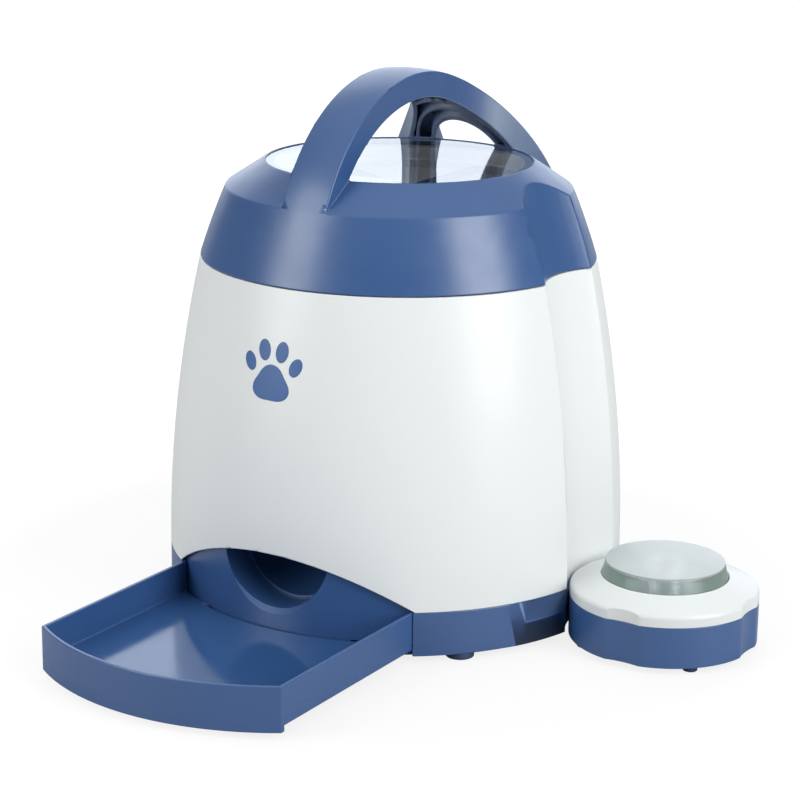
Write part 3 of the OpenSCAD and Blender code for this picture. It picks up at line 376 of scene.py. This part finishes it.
def edge_picker(name, angle, axis, beyond, spare):
    """Node group that weights the edges to be rolled.

    Picks edges sharper than the angle and further than beyond from an upright axis, and leaves
    out those in the spare boxes, which are given in millimetres.
    """
    group = bpy.data.node_groups.new(name, "GeometryNodeTree")
    for side in ("INPUT", "OUTPUT"):
        group.interface.new_socket("Geometry", in_out=side, socket_type="NodeSocketGeometry")
    n = Nodes(group)
    bend = n.new("GeometryNodeInputMeshEdgeAngle").outputs["Unsigned Angle"]
    picked = n.math("GREATER_THAN", bend, math.radians(angle))
    at = n.split(n.new("GeometryNodeInputPosition").outputs["Position"])
    x = n.math("SUBTRACT", at[0], axis[0] * MM)
    y = n.math("SUBTRACT", at[1], axis[1] * MM)
    square = n.math("ADD", n.math("MULTIPLY", x, x), n.math("MULTIPLY", y, y))
    picked = n.math("MULTIPLY", picked, n.math("GREATER_THAN", square, (beyond * MM) ** 2))
    for low, high in spare:
        inside = 1.0
        for k in range(3):
            above = n.math("GREATER_THAN", at[k], low[k] * MM)
            below = n.math("LESS_THAN", at[k], high[k] * MM)
            inside = n.math("MULTIPLY", inside, n.math("MULTIPLY", above, below))
        picked = n.math("MULTIPLY", picked, n.math("SUBTRACT", 1.0, inside))
    store = n.new("GeometryNodeStoreNamedAttribute")
    store.data_type = "FLOAT"
    store.domain = "EDGE"
    n.feed(store.inputs["Name"], "bevel_weight_edge")
    n.feed(store.inputs["Geometry"], n.new("NodeGroupInput").outputs[0])
    n.feed(store.inputs["Value"], picked)
    n.feed(n.new("NodeGroupOutput").inputs[0], store.outputs["Geometry"])
    return group


JOIN_WITHIN = 0.05 * MM
FLAT_WITHIN = math.radians(0.1)


def rounded(name, width, angle=30.0, axis=(0, 0), beyond=0.0, spare=()):
    """Rolls a node's sharp edges: joins faces, merges flat ones, bevels and evens the normals."""
    node = nodes[name]
    weld = node.modifiers.new("weld", "WELD")
    weld.merge_threshold = JOIN_WITHIN
    flat = node.modifiers.new("flat", "DECIMATE")
    flat.decimate_type = "DISSOLVE"
    flat.angle_limit = FLAT_WITHIN
    pick = node.modifiers.new("pick", "NODES")
    pick.node_group = edge_picker("pick_" + name, angle, axis, beyond, spare)
    bevel = node.modifiers.new("edges", "BEVEL")
    bevel.width = width * MM
    bevel.segments = 3
    bevel.limit_method = "WEIGHT"
    bevel.loop_slide = False
    bevel.use_clamp_overlap = False
    bevel.face_strength_mode = "FSTR_ALL"
    even = node.modifiers.new("normals", "WEIGHTED_NORMAL")
    even.mode = "FACE_AREA_WITH_ANGLE"
    even.use_face_influence = True


# In millimetres: the puck's axis, and the boxes in which edges stay sharp
FAR = 300
PUCK_AXIS = (152.88, 0)
HANDLE_FOOT = ((-14, -95, 204), (14, -80, 212))
SCALLOP_TOP = ((78, -29, 196), (92, -19, 209))
LID_PLUG = ((-FAR, -FAR, 150), (FAR, FAR, 173))
LID_LEDGE = ((-FAR, -FAR, 179), (FAR, FAR, 180))
RIGHT_TIPS = ((99, -FAR, 0), (FAR, FAR, 40))
LEFT_TIPS = ((-FAR, -FAR, 0), (-99, FAR, 40))
rounded("tray", 0.6)
rounded("lid", 0.7, angle=20, spare=(HANDLE_FOOT, SCALLOP_TOP, LID_PLUG, LID_LEDGE))
rounded("casing", 0.5)
rounded("base_pan", 0.5, beyond=113, spare=(RIGHT_TIPS, LEFT_TIPS))
rounded("remote_ring", 0.35, axis=PUCK_AXIS, beyond=30)
rounded("remote_base", 0.4, axis=PUCK_AXIS, beyond=42)
rounded("rubber_feet", 0.6)
rounded("remote_feet", 0.4)
rounded("rotor", 0.5, beyond=13)
rounded("battery_door", 0.3)
rounded("remote_battery_door", 0.3)


def tube(start, rings, around):
    """Faces of a closed tube over rings of points, which run anticlockwise seen from its end."""
    faces = []
    for ring in range(rings - 1):
        for k in range(around):
            a = start + ring * around + k
            b = start + ring * around + (k + 1) % around
            faces.append((a, b, b + around, a + around))
    last = start + (rings - 1) * around
    faces.append(tuple(range(last, last + around)))
    faces.append(tuple(reversed(range(start, start + around))))
    return faces


def add_piece(name, points, faces, paint):
    """A smooth piece made here, from its points and faces."""
    mesh = bpy.data.meshes.new(name)
    mesh.from_pydata(points, [], faces)
    mesh.shade_smooth()
    mesh.materials.append(paint.material)
    piece = bpy.data.objects.new(name, mesh)
    scene.collection.objects.link(piece)
    return piece


CASING_R = 115 * MM
CASING_FOOT = 25.1 * MM
BULGE_R = 680 * MM


def on_casing(u, v, lift):
    """A point of the casing's front at arc length u to the right and height v, lifted off it."""
    radius = CASING_R - BULGE_R + math.sqrt(BULGE_R ** 2 - (v - CASING_FOOT) ** 2) + lift
    turn = u / (radius - lift)
    return Vector((math.sin(turn) * radius, -math.cos(turn) * radius, v))


PAW_AT = (-3.7 * MM, 135 * MM)
# Toes and pad of the paw, in millimetres: middle, half width, half height, then tilt in degrees
# and depth of its three lobes
PAW = (
    (-5.0, 9.3, 3.5, 5.0, 8, 0.0),
    (5.0, 9.3, 3.5, 5.0, -8, 0.0),
    (-13.0, 3.0, 3.2, 4.6, 26, 0.0),
    (13.0, 3.0, 3.2, 4.6, -26, 0.0),
    (0.0, -6.4, 10.0, 8.4, 0, 0.12),
)
# Share of the outline and lift of each ring, from the buried edge over the rolled rim
PAW_RINGS = ((1.0, -0.1), (1.0, 0.03), (0.985, 0.06), (0.95, 0.07), (0.6, 0.07), (0.3, 0.07))
PAW_POINTS = 64


def make_paw():
    """Plain paw print on the casing's front: five thin inked pads that follow the bulge."""
    points = []
    faces = []
    for x, y, half_w, half_h, tilt, lobes in PAW:
        lean = math.radians(tilt)
        faces += tube(len(points), len(PAW_RINGS), PAW_POINTS)
        for share, lift in PAW_RINGS:
            for k in range(PAW_POINTS):
                a = 2 * math.pi * k / PAW_POINTS
                r = share * (1 + lobes * math.cos(3 * (a - math.pi / 2)))
                px = half_w * r * math.cos(a)
                py = half_h * r * math.sin(a)
                u = x + px * math.cos(lean) - py * math.sin(lean)
                v = y + px * math.sin(lean) + py * math.cos(lean)
                points.append(on_casing(PAW_AT[0] + u * MM, PAW_AT[1] + v * MM, lift * MM))
    ink = plastic("print_ink", INK, 0.42, grain=0.3 * MM)
    paw = add_piece("paw_print", points, faces, ink)
    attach(paw, "unit")


make_paw()

SPRING_R = 8 * MM
SPRING_TURNS = 5
SPRING_STEPS = 24 * SPRING_TURNS
WIRE_SIDES = 10


def make_spring():
    """Round-wire spring under the button."""
    low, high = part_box("remote_spring")
    height = high[2] - low[2]
    wire = (high[0] - low[0]) / 2 - SPRING_R
    middle = Vector((PUCK_AXIS[0] * MM, PUCK_AXIS[1] * MM, low[2] + wire))
    climb = height - 2 * wire
    points = []
    for i in range(SPRING_STEPS + 1):
        done = i / SPRING_STEPS
        turn = 2 * math.pi * SPRING_TURNS * done
        out = Vector((math.cos(turn), math.sin(turn), 0))
        core = middle + out * SPRING_R + UP * (climb * done)
        for k in range(WIRE_SIDES):
            a = 2 * math.pi * k / WIRE_SIDES
            points.append(core + out * (wire * math.cos(a)) - UP * (wire * math.sin(a)))
    faces = tube(0, SPRING_STEPS + 1, WIRE_SIDES)
    coil = add_piece("spring_coil", points, faces, paints["steel"])
    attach(coil, "remote")
    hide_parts("remote_spring")
    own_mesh(coil)


make_spring()

IMAGE_PX = 800
FOCAL_PX = 2395.79
SENSOR_MM = 36.0
CAMERA_AT = Vector((0.61485, -0.99647, 0.42327))
LOOKS_ALONG = Vector((-0.524, 0.8517, 0.0)).normalized()
PITCH = math.radians(15.567)
ROLL = math.radians(0.672)


def make_camera():
    """The photo's camera, which looks a little down and is turned slightly about its view."""
    forward = LOOKS_ALONG * math.cos(PITCH) - UP * math.sin(PITCH)
    right = forward.cross(UP).normalized()
    above = right.cross(forward)
    x = right * math.cos(ROLL) + above * math.sin(ROLL)
    y = above * math.cos(ROLL) - right * math.sin(ROLL)
    data = bpy.data.cameras.new("camera")
    data.sensor_width = SENSOR_MM
    data.lens = FOCAL_PX / IMAGE_PX * SENSOR_MM
    data.clip_start = 0.05
    data.clip_end = 50
    camera = bpy.data.objects.new("camera", data)
    turn = Matrix((x, y, -forward)).transposed().to_4x4()
    camera.matrix_world = Matrix.Translation(CAMERA_AT) @ turn
    scene.collection.objects.link(camera)
    scene.camera = camera


make_camera()

LAMP_DISTANCE = 1.6
LAMPS_AIM = Vector((0.03, -0.03, 0.13))


def softbox(name, azimuth, elevation, width, height, radiance):
    """A soft lamp seen from the object at these angles: azimuth 0 is in front, 90 to the right."""
    a = math.radians(azimuth)
    e = math.radians(elevation)
    towards = Vector((math.sin(a) * math.cos(e), -math.cos(a) * math.cos(e), math.sin(e)))
    data = bpy.data.lights.new(name, "AREA")
    data.shape = "RECTANGLE"
    data.size = width
    data.size_y = height
    data.energy = radiance * math.pi * width * height
    lamp = bpy.data.objects.new(name, data)
    lamp.location = LAMPS_AIM + towards * LAMP_DISTANCE
    lamp.rotation_mode = "QUATERNION"
    lamp.rotation_quaternion = towards.to_track_quat("Z", "Y")
    lamp.visible_camera = False
    scene.collection.objects.link(lamp)


softbox("lamp_right", azimuth=82, elevation=23, width=0.76, height=1.4, radiance=6.5)
softbox("lamp_left", azimuth=-33, elevation=21, width=0.66, height=1.2, radiance=5.0)

BACK = Vector((-0.50, 0.84, 0.22)).normalized()
ROOM_LIGHT = 0.22
COOL = (0.86, 0.93, 1.03, 1.0)


def make_world():
    """Dim studio with a pale ceiling and a bright backdrop, cooler where it is reflected.

    The camera sees it plain white, also through clear pieces.
    """
    world = bpy.data.worlds.new("surroundings")
    scene.world = world
    world.use_nodes = True
    world.node_tree.nodes.clear()
    n = Nodes(world.node_tree)
    where = n.new("ShaderNodeTexCoord").outputs["Generated"]
    rays = n.new("ShaderNodeLightPath").outputs

    def lobe(towards, start, end, strength):
        """Light that grows smoothly as a direction nears this one."""
        along = n.vector("DOT_PRODUCT", "Value", where, towards)
        return n.span(along, 0.0, strength, start, end, "SMOOTHSTEP")

    backdrop = lobe(BACK, 0.74, 0.96, 1.6)
    ceiling = lobe(UP, 0.40, 1.0, 0.75)
    light = n.math("ADD", n.math("ADD", backdrop, ceiling), ROOM_LIGHT)
    lit = n.new("ShaderNodeBackground")
    n.feed(lit.inputs["Color"], n.mix(rays["Is Glossy Ray"], PURE_WHITE, COOL))
    n.feed(lit.inputs["Strength"], light)
    seen = n.new("ShaderNodeBackground")
    n.feed(seen.inputs["Color"], PURE_WHITE)
    plain = n.math("ADD", rays["Is Camera Ray"], rays["Is Transmission Ray"])
    surface = n.new("ShaderNodeOutputWorld").inputs["Surface"]
    n.blend(plain, lit.outputs["Background"], seen.outputs["Background"], surface)


make_world()

FLOOR_REACH = 2.5
FLOOR_DROP = 0.05 * MM
FLOOR_GREY = (0.50, 0.50, 0.50, 1.0)
FLOOR_GLOW = 1.15
# Share of the glow below the object and further off, and the distances between which it grows
GLOW_SHARE = (0.72, 1.0)
GLOW_GROWS = (0.20, 0.36)


def make_floor():
    """Pale floor that keeps the object's shadow and fades into the white backdrop."""
    r = FLOOR_REACH
    corners = [(-r, -r), (r, -r), (r, r), (-r, r)]
    mesh = bpy.data.meshes.new("floor")
    mesh.from_pydata([(x, y, -FLOOR_DROP) for x, y in corners], [], [(0, 1, 2, 3)])
    floor = bpy.data.objects.new("floor", mesh)
    scene.collection.objects.link(floor)
    p = Paint("floor")
    p.set("Base Color", FLOOR_GREY)
    p.set("Roughness", 0.6)
    p.set("Specular IOR Level", 0.2)
    away = p.vector("LENGTH", "Value", p.where)
    share = p.span(away, *GLOW_SHARE, *GLOW_GROWS)
    glow = p.new("ShaderNodeEmission")
    p.feed(glow.inputs["Strength"], FLOOR_GLOW)
    rays = p.new("ShaderNodeLightPath").outputs
    seen = p.math("MULTIPLY", rays["Is Camera Ray"], share)
    p.blend(seen, p.shader.outputs["BSDF"], glow.outputs["Emission"], p.surface)
    mesh.materials.append(p.material)


make_floor()
